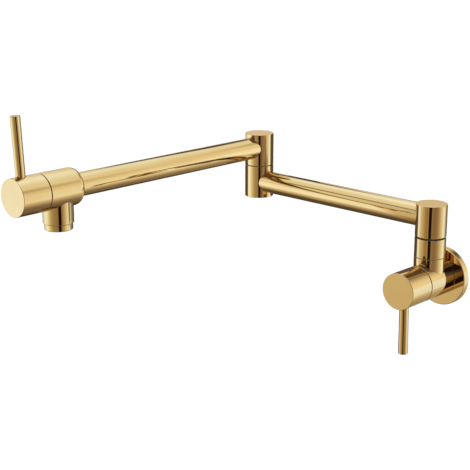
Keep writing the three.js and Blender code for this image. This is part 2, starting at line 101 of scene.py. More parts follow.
def startMaterial(name):
    material = bpy.data.materials.new(name)
    material.use_nodes = True
    tree = material.node_tree
    tree.nodes.clear()
    return material, tree


def endMaterial(tree, shader):
    addNode(tree, "ShaderNodeOutputMaterial", {"Surface": shader.outputs[0]})


def toObject(bm, name):
    mesh = bpy.data.meshes.new(name)
    bm.to_mesh(mesh)
    bm.free()
    made = bpy.data.objects.new(name, mesh)
    bpy.context.collection.objects.link(made)
    return made


# studio: what the polished metal mirrors, by azimuth and by height; other rays see plain white

studioSetup = {
    "around": {  # azimuth from -Y towards +X in degrees, under the horizon
        -180: (0.26, 0.25, 0.27),
        -138: (0.11, 0.115, 0.11),
        -130: (0.50, 0.53, 0.60),
        -112: (0.80, 0.90, 1.20),
        -75: (0.90, 1.02, 1.35),
        -48: (1.07, 1.22, 1.50),
        -34: (0.94, 1.03, 1.06),
        -22: (0.77, 0.79, 0.66),
        -8: (0.58, 0.53, 0.37),
        8: (0.43, 0.34, 0.22),
        30: (0.33, 0.26, 0.18),
        60: (0.25, 0.18, 0.13),
        80: (0.32, 0.24, 0.17),
        96: (0.50, 0.41, 0.31),
        112: (0.75, 0.72, 0.62),
        126: (0.89, 0.93, 0.90),
        138: (1.03, 1.18, 1.42),
        149: (0.88, 1.0, 1.25),
        163: (0.38, 0.38, 0.38),
        180: (0.26, 0.25, 0.27),
    },
    "above": {  # the same over the horizon
        -180: (0.50, 0.42, 0.30),
        -160: (0.98, 0.90, 0.76),
        -147: (1.04, 0.95, 0.78),
        -136: (1.24, 1.09, 0.84),
        -115: (1.10, 1.0, 0.85),
        -100: (0.96, 0.94, 0.88),
        -44: (0.92, 0.92, 0.86),
        -25: (0.30, 0.24, 0.17),
        0: (0.11, 0.12, 0.24),
        88: (0.12, 0.13, 0.26),
        110: (0.78, 0.74, 0.64),
        135: (0.94, 0.90, 0.80),
        145: (0.94, 0.90, 0.80),
        160: (0.70, 0.64, 0.50),
        180: (0.50, 0.42, 0.30),
    },
    "edge": {  # where the ceiling starts: height, width of the dark band under it, its strength
        -180: (0.66, 0.45, 1.0),
        -160: (0.62, 0.34, 0.3),
        -148: (0.42, 0.20, 0.0),
        -115: (0.42, 0.20, 0.0),
        -90: (0.63, 0.22, 0.8),
        -40: (0.63, 0.22, 0.8),
        0: (0.80, 0.50, 0.5),
        90: (0.80, 0.50, 0.5),
        115: (0.60, 0.45, 0.9),
        140: (0.58, 0.40, 0.1),
        160: (0.66, 0.30, 0.45),
        180: (0.66, 0.45, 1.0),
    },
    "band": (0.13, 0.095, 0.05, 1),
    "bandStops": (  # how the band grows up to the edge
        (0.0, grey(0)), (0.45, grey(0.35)), (0.7, grey(1)), (1.0, grey(1)),
    ),
    "edgeBlur": 0.03,
    "ceiling": {  # by height
        0.5: (0.78, 0.77, 0.68),
        0.70: (0.84, 0.86, 0.80),
        0.78: (0.84, 0.90, 0.93),
        0.84: (0.92, 1.0, 1.14),
        1.0: (1.0, 1.15, 1.45),
    },
    "rear": {  # what the ceiling is multiplied by
        -180: (1.05, 1.08, 1.15),
        -155: (1.17, 1.28, 1.55),
        -105: (1.20, 1.32, 1.70),
        -88: (1.0, 1.0, 1.0),
        160: (1.0, 1.0, 1.0),
        180: (1.05, 1.08, 1.15),
    },
    "below": {  # the floor by depth
        0.3: (0.87, 0.83, 0.69),
        0.5: (0.73, 0.67, 0.55),
        0.62: (0.53, 0.47, 0.38),
        0.72: (0.31, 0.265, 0.225),
        0.80: (0.21, 0.175, 0.15),
        1.0: (0.17, 0.145, 0.14),
    },
    "horizon": (0.02, 0.15),  # heights between which "around" passes into "above"
    "floorFade": (0.36, 0.52),  # depths between which "below" takes over
    "softLight": 1.0,
}


def buildStudio(setup):
    world = bpy.data.worlds.new("studio")
    world.use_nodes = True
    tree = world.node_tree
    tree.nodes.clear()
    direction = addNode(tree, "ShaderNodeTexCoord").outputs["Generated"]
    axes = addNode(tree, "ShaderNodeSeparateXYZ", {"Vector": direction})
    height = axes.outputs["Z"]

    def worked(operation, first, second):
        return addNode(tree, "ShaderNodeMath", {0: first, 1: second}, operation=operation).outputs[0]

    def blended(factor, first, second, kind="MIX"):  # inputs 6 and 7 and output 2 are colours
        return addNode(
            tree, "ShaderNodeMix", {0: factor, 6: first, 7: second}, data_type="RGBA", blend_type=kind,
        ).outputs[2]

    def byAzimuth(colours):
        return addRamp(tree, turn, [((azimuth + 180) / 360, colour) for azimuth, colour in colours.items()])

    outward = worked("MULTIPLY", axes.outputs["Y"], -1.0)
    turn = ranged(tree, worked("ARCTAN2", axes.outputs["X"], outward), -pi, pi)
    walls = blended(
        ranged(tree, height, *setup["horizon"], "SMOOTHSTEP"),
        byAzimuth(setup["around"]), byAzimuth(setup["above"]),
    )
    edge = addNode(tree, "ShaderNodeSeparateColor", {"Color": byAzimuth(setup["edge"])})
    overEdge = worked("SUBTRACT", height, edge.outputs["Red"])
    belowEdge = worked("ADD", worked("DIVIDE", overEdge, edge.outputs["Green"]), 1.0)
    strength = worked("MULTIPLY", addRamp(tree, belowEdge, setup["bandStops"]), edge.outputs["Blue"])
    banded = blended(strength, walls, setup["band"])
    ceiling = blended(
        1.0, addRamp(tree, height, setup["ceiling"].items()), byAzimuth(setup["rear"]), "MULTIPLY",
    )
    blur = setup["edgeBlur"]
    topped = blended(ranged(tree, overEdge, -blur, blur, "SMOOTHSTEP"), banded, ceiling)
    depth = worked("MULTIPLY", height, -1.0)
    room = blended(
        ranged(tree, depth, *setup["floorFade"], "SMOOTHSTEP"),
        topped, addRamp(tree, depth, setup["below"].items()),
    )
    mirrored = addNode(tree, "ShaderNodeBackground", {"Color": room, "Strength": 1.0})
    plain = addNode(tree, "ShaderNodeBackground", {"Color": (1, 1, 1, 1), "Strength": setup["softLight"]})
    choose = addNode(tree, "ShaderNodeMixShader", {
        0: addNode(tree, "ShaderNodeLightPath").outputs["Is Glossy Ray"],
        1: plain.outputs[0],
        2: mirrored.outputs[0],
    })
    addNode(tree, "ShaderNodeOutputWorld", {"Surface": choose.outputs[0]})
    bpy.context.scene.world = world


buildStudio(studioSetup)

floorSetup = {
    "height": -0.9,
    "half": 40,
    "colour": (0.93, 0.93, 0.93, 1),
    "roughness": 0.9,
    "glow": 0.12,
}

cardSetups = {  # upright dark cards that are seen only in the metal
    "frontCard": {
        "place": (0.26, -0.545, -0.4),
        "half": 0.14,
        "tall": 0.8,
        "turn": cameraSetup["yaw"],
        "fade": 0.2,
        "colour": (0.012, 0.006, 0.002, 1),
    },
    "sideCard": {
        "place": (-0.49, 0.213, -0.45),
        "half": 0.4,
        "tall": 0.5,
        "turn": 90,
        "fade": 0.04,
        "colour": (0.12, 0.095, 0.065, 1),
    },
    "backCard": {
        "place": (-0.065, 0.02, 0.038),
        "half": 0.045,
        "tall": 0.03,
        "turn": 0,
        "fade": 0.05,
        "colour": (0.20, 0.15, 0.15, 1),
    },
    "elbowCard": {
        "place": (-0.21, 0.02, 0.082),
        "half": 0.025,
        "tall": 0.043,
        "turn": 0,
        "fade": 0.1,
        "colour": (0.13, 0.11, 0.10, 1),
    },
    "backBand": {
        "place": (-0.7, 0.35, 0.4),
        "half": 0.3,
        "tall": 0.14,
        "turn": 0,
        "fade": 0.2,
        "colour": (0.13, 0.115, 0.09, 1),
    },
    "warmSheet": {  # lets light through, tinted where it comes from behind
        "place": (-0.041, -0.143, -0.25),
        "half": 0.08,
        "tall": 0.32,
        "turn": -20,
        "fade": 0.12,
        "tint": (0.68, 0.56, 0.42, 1),
    },
}


def buildFloor(setup):
    material, tree = startMaterial("paleFloor")
    shader = addNode(tree, "ShaderNodeBsdfPrincipled", {
        "Base Color": setup["colour"],
        "Roughness": setup["roughness"],
        "Emission Color": (1, 1, 1, 1),
        "Emission Strength": setup["glow"],
    })
    endMaterial(tree, shader)
    bm = bmesh.new()
    bmesh.ops.create_grid(bm, x_segments=1, y_segments=1, size=setup["half"])
    bmesh.ops.translate(bm, verts=bm.verts, vec=(0, 0, setup["height"]))
    floor = toObject(bm, "studioFloor")
    floor.data.materials.append(material)
    floor.visible_glossy = False


def buildCard(name, setup):
    material, tree = startMaterial(name)
    half = setup["half"]
    fade = setup["fade"]
    coords = addNode(tree, "ShaderNodeTexCoord").outputs["Object"]
    across = addNode(tree, "ShaderNodeSeparateXYZ", {"Vector": coords}).outputs["X"]
    shade = addRamp(tree, ranged(tree, across, -half, half), [
        (0.0, grey(0)), (fade, grey(1)), (1 - fade, grey(1)), (1.0, grey(0)),
    ])
    if "tint" in setup:
        behind = addNode(tree, "ShaderNodeNewGeometry").outputs["Backfacing"]
        shade = addNode(tree, "ShaderNodeMath", {0: shade, 1: behind}, operation="MULTIPLY").outputs[0]
        dark = addNode(tree, "ShaderNodeBsdfTransparent", {"Color": setup["tint"]})
    else:
        dark = addNode(tree, "ShaderNodeEmission", {"Color": setup["colour"], "Strength": 1.0})
    clear = addNode(tree, "ShaderNodeBsdfTransparent")
    choose = addNode(tree, "ShaderNodeMixShader", {0: shade, 1: clear.outputs[0], 2: dark.outputs[0]})
    endMaterial(tree, choose)
    bm = bmesh.new()
    bmesh.ops.create_grid(bm, x_segments=1, y_segments=1, size=1)
    bmesh.ops.scale(bm, verts=bm.verts, vec=(half, setup["tall"], 1))
    bmesh.ops.rotate(bm, verts=bm.verts, cent=(0, 0, 0), matrix=Matrix.Rotation(pi / 2, 3, "X"))
    card = toObject(bm, name)
    card.data.materials.append(material)
    card.location = setup["place"]
    card.rotation_euler = (0, 0, radians(setup["turn"]))
    card.visible_camera = False
    card.visible_diffuse = False
    card.visible_shadow = False


buildFloor(floorSetup)
for cardName, cardSetup in cardSetups.items():
    buildCard(cardName, cardSetup)
print("studio ready")


# finishes

noiseSetup = {
    "low": 0.3,
    "high": 0.7,
    "tintDetail": 3.0,
    "hazeDetail": 4.0,
    "markDetail": 5.0,
    "dullMarks": 0.3,
    "dullFiner": 3,  # how much finer the marks on dull materials are than their grain
}


def varied(tree, scale, detail, low=0.0, high=1.0):
    coords = addNode(tree, "ShaderNodeTexCoord").outputs["Object"]
    noise = addNode(tree, "ShaderNodeTexNoise", {"Vector": coords, "Scale": scale, "Detail": detail})
    return ranged(tree, noise.outputs["Fac"], noiseSetup["low"], noiseSetup["high"], to=(low, high))


def bumped(tree, height, strength, distance):
    bump = addNode(tree, "ShaderNodeBump", {"Height": height, "Strength": strength, "Distance": distance})
    return bump.outputs["Normal"]


def makeMetal(name, setup):
    material, tree = startMaterial(name)
    tint = varied(tree, setup["tintScale"], noiseSetup["tintDetail"])
    marks = varied(tree, setup["markScale"], noiseSetup["markDetail"])
    shader = addNode(tree, "ShaderNodeBsdfPrincipled", {
        "Base Color": addRamp(tree, tint, [(0.0, setup["deep"]), (1.0, setup["light"])]),
        "Metallic": 1.0,
        "Specular Tint": (*setup["rim"], 1),
        "Roughness": varied(
            tree, setup["hazeScale"], noiseSetup["hazeDetail"], setup["smooth"], setup["rough"]
        ),
        "Normal": bumped(tree, marks, setup["marks"], setup["markDepth"]),
    })
    endMaterial(tree, shader)
    return material


def makeDull(name, setup):
    material, tree = startMaterial(name)
    scale = setup["grainScale"]
    tint = varied(tree, scale, noiseSetup["hazeDetail"])
    marks = varied(tree, scale * noiseSetup["dullFiner"], noiseSetup["markDetail"])
    shader = addNode(tree, "ShaderNodeBsdfPrincipled", {
        "Base Color": addRamp(tree, tint, [(0.0, setup["deep"]), (1.0, setup["light"])]),
        "Metallic": 0.0,
        "Roughness": varied(tree, scale, noiseSetup["hazeDetail"], setup["smooth"], setup["rough"]),
        "Normal": bumped(tree, marks, noiseSetup["dullMarks"], setup["grainDepth"]),
    })
    endMaterial(tree, shader)
    return material


polishedGoldLook = {
    "deep": (0.875, 0.635, 0.288),
    "light": (0.912, 0.678, 0.322),
    "rim": (0.60, 0.60, 0.62),
    "tintScale": 22.0,
    "smooth": 0.035,
    "rough": 0.065,
    "hazeScale": 60.0,
    "marks": 0.02,
    "markScale": 900.0,
    "markDepth": 0.00002,
}
rawBrassLook = {
    "deep": (0.56, 0.38, 0.14),
    "light": (0.70, 0.50, 0.21),
    "rim": (0.9, 0.9, 0.9),
    "tintScale": 120.0,
    "smooth": 0.28,
    "rough": 0.42,
    "hazeScale": 500.0,
    "marks": 0.25,
    "markScale": 2500.0,
    "markDepth": 0.00005,
}
steelLook = {
    "deep": (0.50, 0.50, 0.51),
    "light": (0.62, 0.62, 0.63),
    "rim": (0.9, 0.9, 0.9),
    "tintScale": 150.0,
    "smooth": 0.22,
    "rough": 0.36,
    "hazeScale": 700.0,
    "marks": 0.2,
    "markScale": 3000.0,
    "markDepth": 0.00003,
}
rubberLook = {
    "deep": (0.010, 0.010, 0.010),
    "light": (0.022, 0.021, 0.020),
    "grainScale": 900.0,
    "smooth": 0.62,
    "rough": 0.82,
    "grainDepth": 0.00004,
}
ceramicLook = {
    "deep": (0.80, 0.78, 0.72),
    "light": (0.87, 0.85, 0.80),
    "grainScale": 600.0,
    "smooth": 0.12,
    "rough": 0.24,
    "grainDepth": 0.00001,
}
acetalLook = {
    "deep": (0.016, 0.012, 0.009),
    "light": (0.030, 0.022, 0.017),
    "grainScale": 700.0,
    "smooth": 0.38,
    "rough": 0.55,
    "grainDepth": 0.00003,
}

finishes = {
    "polished_gold": makeMetal("polishedGold", polishedGoldLook),
    "raw_brass": makeMetal("rawBrass", rawBrassLook),
    "stainless_steel": makeMetal("stainlessSteel", steelLook),
    "black_rubber": makeDull("blackRubber", rubberLook),
    "white_ceramic": makeDull("whiteCeramic", ceramicLook),
    "dark_acetal": makeDull("darkAcetal", acetalLook),
}

nodeFinishes = (  # of the CAD nodes that stay, by the end of their name
    ("_cartridge_body", "raw_brass"),
    ("_gland_nut", "raw_brass"),
    ("_stem", "raw_brass"),
    ("_spindle", "raw_brass"),
    ("_disc", "white_ceramic"),
    ("_seal", "black_rubber"),
    ("_o_ring", "black_rubber"),
    ("aerator_washer", "black_rubber"),
    ("elbow_thrust_washer", "dark_acetal"),
    ("_screw", "stainless_steel"),
    ("_circlip", "stainless_steel"),
)

for nodeName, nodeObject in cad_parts.items():
    finish = next((slot for ending, slot in nodeFinishes if nodeName.endswith(ending)), "polished_gold")
    nodeObject.data.materials.clear()
    nodeObject.data.materials.append(finishes[finish])
print("finishes ready")


# shapes, in millimetres, turned about +Z

shapeSetup = {
    "roundingSegments": 4,
    "mergeDistance": 1e-4,
    "collapseDistance": 1e-5,
    "sharpAngle": 32,  # degrees between faces from which their edge stays sharp
}
roundSteps = 256  # sides of the seen pieces
tubeHoleSteps = 192
smallSteps = 128
boreSteps = 96
crisp = 0.1  # small roundings
fine = 0.2
eased = 0.3
blunt = 0.4
past = 1  # how far a cutting rod runs past the face that it opens


def turned(points, steps, closed=False):  # points are radius, height and rounding
    bm = bmesh.new()
    corners = [bm.verts.new((radius, 0, height)) for radius, height, _ in points]
    for first, second in zip(corners, corners[1:]):
        bm.edges.new((first, second))
    if closed:
        bm.edges.new((corners[-1], corners[0]))
    for rounding in sorted({point[2] for point in points if point[2]}):
        rounded = [corner for corner, point in zip(corners, points) if point[2] == rounding]
        bmesh.ops.bevel(
            bm, geom=rounded, offset=rounding, offset_type="OFFSET", profile=0.5,
            segments=shapeSetup["roundingSegments"], affect="VERTICES", material=-1,
        )
    bmesh.ops.spin(
        bm, geom=bm.verts[:] + bm.edges[:], cent=(0, 0, 0), axis=(0, 0, 1),
        angle=2 * pi, steps=steps, use_merge=True,
    )
    bmesh.ops.remove_doubles(bm, verts=bm.verts, dist=shapeSetup["mergeDistance"])
    bmesh.ops.recalc_face_normals(bm, faces=bm.faces)
    return bm


def rod(radius, low, high, steps=boreSteps):
    return turned([(0, low, 0), (radius, low, 0), (radius, high, 0), (0, high, 0)], steps)


def laid(bm, *turns, by=(0, 0, 0)):
    for angle, axis in turns:
        turn = Matrix.Rotation(radians(angle), 3, axis)
        bmesh.ops.rotate(bm, verts=bm.verts, cent=(0, 0, 0), matrix=turn)
    bmesh.ops.translate(bm, verts=bm.verts, vec=by)
    return bm


upwards = (-90, "X")  # +Z to +Y
downwards = (90, "X")  # +Z to -Y
leftwards = (-90, "Y")  # +Z to -X
rightwards = (90, "Y")  # +Z to +X


def joined(bm, *steps):
    base = toObject(bm, "base")
    tools = []
    for operation, shape in steps:
        tool = toObject(shape, "tool")
        tools.append(tool)
        change = base.modifiers.new("join", "BOOLEAN")
        change.operation = operation
        change.object = tool
        change.solver = "EXACT"
    settled = bpy.data.meshes.new_from_object(base.evaluated_get(bpy.context.evaluated_depsgraph_get()))
    made = bmesh.new()
    made.from_mesh(settled)
    for spare in (base, *tools):
        spareMesh = spare.data
        bpy.data.objects.remove(spare)
        bpy.data.meshes.remove(spareMesh)
    bpy.data.meshes.remove(settled)
    bmesh.ops.remove_doubles(made, verts=made.verts, dist=shapeSetup["mergeDistance"])
    bmesh.ops.dissolve_degenerate(made, edges=made.edges, dist=shapeSetup["collapseDistance"])
    return made


def placePiece(bm, name, place, body, finish, node):
    bmesh.ops.transform(bm, matrix=Matrix.Scale(0.001, 4) @ place, verts=bm.verts)
    for face in bm.faces:
        face.smooth = True
    for edge in bm.edges:
        edge.smooth = edge.calc_face_angle(pi) < radians(shapeSetup["sharpAngle"])
    made = toObject(bm, name)
    made.data.materials.append(finishes[finish])
    shading = made.modifiers.new("flatten", "WEIGHTED_NORMAL")
    shading.weight = 100
    shading.keep_sharp = True
    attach(made, body)
    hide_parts(node)


# frames of the moving bodies, in millimetres

layout = {
    "postOffset": 27,  # from the wall to the post's axis
    "armSpan": 236.5,
    "innerHeight": 67.3,
    "outerHeight": 105.8,
    "outerRest": -0.85,  # degrees off square to the wall
    "wallSeat": 19,  # from the wall to the cartridge's seat
    "wallLeverRest": 181,  # degrees from upright: it hangs
    "spoutSeat": 277.2,  # from the elbow's axis
    "spoutLeverRest": 4.2,
    "nozzle": 285.7,  # from the elbow's axis to the outlet's
}

outwards = Matrix.Rotation(pi / 2, 4, "X")
postPlace = Matrix.Translation((0, -layout["postOffset"], 0))
elbowPlace = postPlace @ Matrix.Translation((-layout["armSpan"], 0, 0))
outerPlace = elbowPlace @ Matrix.Rotation(radians(layout["outerRest"]), 4, "Z")
spoutPlace = outerPlace @ Matrix.Translation((0, 0, layout["outerHeight"])) @ outwards
nozzlePlace = outerPlace @ Matrix.Translation((0, -layout["nozzle"], 0))
wallHandlePlace = (
    outwards @ Matrix.Translation((0, 0, layout["wallSeat"]))
    @ Matrix.Rotation(radians(layout["wallLeverRest"]), 4, "Z")
)
spoutHandlePlace = (
    spoutPlace @ Matrix.Translation((0, 0, layout["spoutSeat"]))
    @ Matrix.Rotation(radians(layout["spoutLeverRest"]), 4, "Z")
)


# wall flange, hollow behind

flangeSetup = {
    "radius": 30.7,
    "thickness": 7.8,
    "wall": 2.4,
    "rim": 0.8,
    "boss": 13.9,  # inside, holds the ring that grips the inlet
    "bossSetBack": 1.5,
    "hole": 10.7,
    "grooveRadius": 12.1,
    "grooveLow": 3.55,
    "grooveHigh": 5.25,
    "fillet": 1.0,
}


def buildFlange(setup):
    inside = setup["radius"] - setup["wall"]
    floor = setup["thickness"] - setup["wall"]
    bm = turned([
        (inside, 0, eased),
        (setup["radius"], 0, eased),
        (setup["radius"], setup["thickness"], setup["rim"]),
        (setup["hole"], setup["thickness"], fine),
        (setup["hole"], setup["grooveHigh"], 0),
        (setup["grooveRadius"], setup["grooveHigh"], 0),
        (setup["grooveRadius"], setup["grooveLow"], 0),
        (setup["hole"], setup["grooveLow"], 0),
        (setup["hole"], setup["bossSetBack"], fine),
        (setup["boss"], setup["bossSetBack"], eased),
        (setup["boss"], floor, setup["fillet"]),
        (inside, floor, setup["fillet"]),
    ], roundSteps, closed=True)
    placePiece(bm, "wallFlange", outwards, "wall_valve", "polished_gold", "wall_flange")


buildFlange(flangeSetup)


# inlet with its male thread, behind the wall face

inletSetup = {
    "radius": 10.4,
    "bore": 7,
    "tip": -28,
    "top": 15.4,
    "pitch": 1.814,
    "threadDepth": 1.16,
    "crest": (0.42, 0.58),  # flat top of the thread, as shares of the pitch
    "threadTop": -1.2,
    "leadIn": 1.7,
    "leadOver": 0.3,  # how far the lead-in cone stands over the thread
    "reliefRadius": 9.1,
    "reliefTop": 0.6,
    "shankFrom": 1.6,
    "shankOverlap": 0.5,
    "spareTurns": 1.5,  # cut off at each end
    "weld": 1e-3,
}


def threadSleeve(setup):
    bm = bmesh.new()
    root = setup["radius"] - setup["threadDepth"]
    turns = int((setup["threadTop"] - setup["tip"]) / setup["pitch"] + 2 * setup["spareTurns"])
    low = setup["tip"] - setup["spareTurns"] * setup["pitch"]
    outline = []
    for i in range(turns):
        start = low + i * setup["pitch"]
        outline.append((root, start))
        outline += [(setup["radius"], start + share * setup["pitch"]) for share in setup["crest"]]
    outline.append((root, low + turns * setup["pitch"]))
    corners = [bm.verts.new((radius, 0, height)) for radius, height in outline]
    for first, second in zip(corners, corners[1:]):
        bm.edges.new((first, second))
    bmesh.ops.spin(
        bm, geom=bm.verts[:] + bm.edges[:], cent=(0, 0, 0), axis=(0, 0, 1),
        dvec=(0, 0, setup["pitch"] / boreSteps), angle=2 * pi, steps=boreSteps,
    )
    bmesh.ops.remove_doubles(bm, verts=bm.verts, dist=setup["weld"])
    for height, side in ((setup["tip"], -1), (setup["threadTop"], 1)):
        bmesh.ops.bisect_plane(
            bm, geom=bm.verts[:] + bm.edges[:] + bm.faces[:], dist=shapeSetup["collapseDistance"],
            plane_co=(0, 0, height), plane_no=(0, 0, side), clear_outer=True,
        )
    bmesh.ops.holes_fill(bm, edges=[edge for edge in bm.edges if edge.is_boundary], sides=0)
    bmesh.ops.recalc_face_normals(bm, faces=bm.faces)
    return bm


def buildInlet(setup):
    shankLow = setup["threadTop"] - setup["shankOverlap"]
    shank = turned([
        (0, shankLow, 0),
        (setup["reliefRadius"], shankLow, 0),
        (setup["reliefRadius"], setup["reliefTop"], 0),
        (setup["radius"], setup["shankFrom"], 0),
        (setup["radius"], setup["top"], blunt),
        (0, setup["top"], 0),
    ], boreSteps)
    over = setup["radius"] + setup["leadOver"]
    lead = turned([
        (0, setup["tip"], 0),
        (setup["radius"] - setup["threadDepth"], setup["tip"], 0),
        (over, setup["tip"] + setup["leadIn"], 0),
        (over, 0, 0),
        (0, 0, 0),
    ], boreSteps)
    bm = joined(
        threadSleeve(setup), ("INTERSECT", lead), ("UNION", shank),
        ("DIFFERENCE", rod(setup["bore"], setup["tip"] - past, setup["top"] + past)),
    )
    placePiece(bm, "inletNipple", outwards, "wall_valve", "raw_brass", "inlet_nipple")


buildInlet(inletSetup)


# valve body at the wall: a barrel with an upright stub

wallBodySetup = {
    "radius": 18.9,
    "back": 8.1,
    "seam": 47,
    "edge": 0.2,
    "stubRadius": 16,
    "stubTop": 26,
    "spigotRadius": 13.2,
    "spigotTop": 33.9,
    "pit": 10.5,  # recess in the spigot, for the swivel's clip
    "riser": 6.5,  # water way up the stub
    "pocket": 12.6,  # for the cartridge
    "seatBore": 6.5,
    "inletHole": 10.7,
    "inletFloor": 15.7,
}


def buildWallBody(setup):
    across = (0, 0, layout["postOffset"])
    barrel = turned([
        (0, setup["back"], 0), (setup["radius"], setup["back"], setup["edge"]),
        (setup["radius"], setup["seam"], setup["edge"]), (0, setup["seam"], 0),
    ], roundSteps)
    stub = laid(turned([
        (0, 0, 0), (setup["stubRadius"], 0, 0), (setup["stubRadius"], setup["stubTop"], setup["edge"]),
        (setup["spigotRadius"], setup["stubTop"], 0), (setup["spigotRadius"], setup["spigotTop"], blunt),
        (0, setup["spigotTop"], 0),
    ], roundSteps), upwards, by=across)
    pit = laid(rod(setup["pit"], setup["stubTop"], setup["spigotTop"] + past), upwards, by=across)
    riser = laid(rod(setup["riser"], 0, setup["stubTop"] + past), upwards, by=across)
    bm = joined(
        barrel, ("UNION", stub), ("DIFFERENCE", pit), ("DIFFERENCE", riser),
        ("DIFFERENCE", rod(setup["pocket"], layout["wallSeat"], setup["seam"] + past)),
        ("DIFFERENCE", rod(setup["seatBore"], setup["inletFloor"] - past, layout["wallSeat"] + past)),
        ("DIFFERENCE", rod(setup["inletHole"], setup["back"] - past, setup["inletFloor"])),
    )
    placePiece(bm, "wallValveBody", outwards, "wall_valve", "polished_gold", "wall_valve_body")


buildWallBody(wallBodySetup)
print("wall valve body ready")


# collar and dark washer of the wall swivel

collarSetup = {
    "radius": 16,
    "low": 26.3,  # heights above the inlet's axis
    "high": 46.2,
    "lowEdge": 0.45,
    "edge": 0.2,
    "socket": 13.5,
    "socketTop": 34.2,
    "bearing": 8.3,
    "washerRadius": 15.2,
    "washerLow": 46.5,
    "washerHigh": 47.3,
    "washerEdge": 0.15,
}


def buildCollar(setup):
    collar = turned([
        (setup["socket"], setup["low"], fine),
        (setup["radius"], setup["low"], setup["lowEdge"]),
        (setup["radius"], setup["high"], setup["edge"]),
        (setup["bearing"], setup["high"], fine),
        (setup["bearing"], setup["socketTop"], 0),
        (setup["socket"], setup["socketTop"], 0),
    ], roundSteps, closed=True)
    placePiece(collar, "postCollar", postPlace, "wall_valve", "polished_gold", "post_collar")
    washer = turned([
        (setup["bearing"], setup["washerLow"], crisp),
        (setup["washerRadius"], setup["washerLow"], setup["washerEdge"]),
        (setup["washerRadius"], setup["washerHigh"], setup["washerEdge"]),
        (setup["bearing"], setup["washerHigh"], crisp),
    ], smallSteps, closed=True)
    placePiece(washer, "postWasher", postPlace, "wall_valve", "dark_acetal", "post_thrust_washer")


buildCollar(collarSetup)


# hubs that hold the arm tubes

hubSetup = {
    "radius": 16,
    "edge": 0.5,
    "seamEdge": 0.9,
    "headSocket": 10.8,
    "web": 13.3,  # from the tube's axis down to the socket's ceiling
    "chamber": 9.5,
    "water": 8.5,  # from the tube's axis up to the chamber's ceiling
    "channel": 8.3,
    "tubeHole": 12.05,
    "tubeFrom": 10,
    "tubeGap": 0.3,  # between the tube's end and the floor of its hole
    "postLow": 47.6,  # heights above the inlet's axis
    "postTop": 81.2,
    "upperLow": 86.4,
    "upperTop": 122.1,
}


def buildHub(setup, name, low, top, armHeight, towards, place, body, node):
    hub = turned([
        (0, low, 0), (setup["radius"], low, setup["seamEdge"]),
        (setup["radius"], top, setup["edge"]), (0, top, 0),
    ], roundSteps)
    arm = (0, 0, armHeight)
    web = armHeight - setup["web"]
    holeFrom = setup["tubeFrom"] - setup["tubeGap"]
    tubeHole = rod(setup["tubeHole"], holeFrom, setup["radius"] + past, tubeHoleSteps)
    bm = joined(
        hub,
        ("DIFFERENCE", rod(setup["headSocket"], low - past, web)),
        ("DIFFERENCE", rod(setup["chamber"], web - past, armHeight + setup["water"])),
        ("DIFFERENCE", laid(tubeHole, towards, by=arm)),
        ("DIFFERENCE", laid(rod(setup["channel"], 0, setup["tubeFrom"]), towards, by=arm)),
    )
    placePiece(bm, name, place, body, "polished_gold", node)


buildHub(
    hubSetup, "postHub", hubSetup["postLow"], hubSetup["postTop"], layout["innerHeight"], leftwards,
    postPlace, "inner_arm", "post_hub",
)
buildHub(
    hubSetup, "elbowUpperHub", hubSetup["upperLow"], hubSetup["upperTop"], layout["outerHeight"],
    downwards, outerPlace, "outer_arm", "elbow_upper_hub",
)
print("hubs ready")


# arm tubes

tubeSetup = {
    "radius": 12,
    "wall": 1.6,
    "edge": 0.25,
    "innerFrom": 10,
    "innerTo": 226.5,
    "outerFrom": 10,
    "outerTo": 269.2,
}


def buildTube(setup, name, low, high, towards, place, body, node):
    inside = setup["radius"] - setup["wall"]
    bm = turned([
        (inside, low, setup["edge"]), (setup["radius"], low, setup["edge"]),
        (setup["radius"], high, setup["edge"]), (inside, high, setup["edge"]),
    ], roundSteps, closed=True)
    if towards:
        laid(bm, towards, by=(0, 0, layout["innerHeight"]))
    placePiece(bm, name, place, body, "polished_gold", node)


buildTube(
    tubeSetup, "innerTube", tubeSetup["innerFrom"], tubeSetup["innerTo"], leftwards, postPlace,
    "inner_arm", "inner_tube",
)
buildTube(
    tubeSetup, "outerTube", tubeSetup["outerFrom"], tubeSetup["outerTo"], None, spoutPlace,
    "outer_arm", "outer_tube",
)
print("arm tubes ready")


# lower half of the elbow

elbowSetup = {
    "radius": 16,
    "low": 49.9,  # heights above the inlet's axis
    "high": 86,
    "edge": 0.5,
    "seamEdge": 0.15,
    "socket": 10.8,
    "chamberTop": 76.8,
    "bearing": 8.3,
    "washerRecess": 13.7,
    "washerFloor": 85,
    "plugRadius": 10.5,
    "plugLow": 50.2,
    "plugHigh": 52.2,
    "slotWidth": 1.6,
    "slotDepth": 0.7,
    "channel": 8.5,
    "channelFrom": 5,
}


